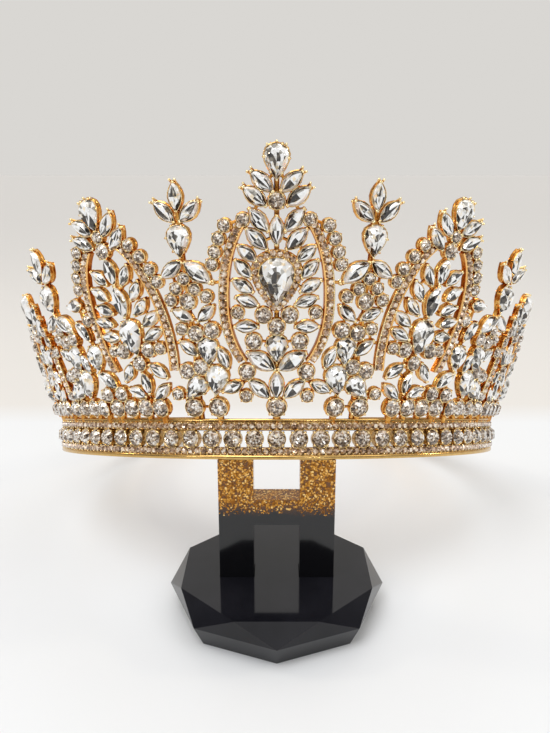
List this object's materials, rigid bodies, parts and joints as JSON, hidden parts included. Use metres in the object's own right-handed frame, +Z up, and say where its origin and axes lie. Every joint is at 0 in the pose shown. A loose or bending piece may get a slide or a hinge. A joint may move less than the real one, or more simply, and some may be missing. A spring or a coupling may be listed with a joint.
{
  "type": "pageant crown on a display stand",
  "caption": "Tall open-backed pageant crown of pierced gilded metal set with clear cut stones, leaning on a small H-shaped display stand with an octagonal foot.",
  "frame": {"origin": "on the table under the centre of the stand's foot", "axes": "+Z up, the crown faces -Y and leans back towards +Y, +X to the right seen from the front"},
  "size_m": [0.1812, 0.1707, 0.136],
  "materials": {
    "gilt_metal": "polished gilding",
    "clear_stone": "cut glass with a silver foil back",
    "glitter_resin": "black resin with gold glitter towards the top",
    "black_resin": "polished black resin"
  },
  "bodies": {
    "root": {"crown_frame": "gilt_metal", "band_stones": "clear_stone", "foot_stones": "clear_stone", "leaf_stones_front": "clear_stone", "leaf_stones_left": "clear_stone", "leaf_stones_right": "clear_stone", "pear_stone_1": "clear_stone", "pear_stone_2": "clear_stone", "pear_stone_3": "clear_stone", "pear_stone_4": "clear_stone", "pear_stone_5": "clear_stone", "pear_stone_6": "clear_stone", "pear_stone_7": "clear_stone", "pear_stone_8": "clear_stone", "pear_stone_9": "clear_stone", "pear_stone_10": "clear_stone", "pear_stone_11": "clear_stone", "pear_stone_12": "clear_stone", "pear_stone_13": "clear_stone", "pear_stone_14": "clear_stone", "pear_stone_15": "clear_stone", "pear_stone_16": "clear_stone", "pear_stone_17": "clear_stone", "pear_stone_18": "clear_stone", "pear_stone_19": "clear_stone", "pear_stone_20": "clear_stone", "stand_upright": "glitter_resin", "stand_foot": "black_resin"}
  },
  "joints": []
}
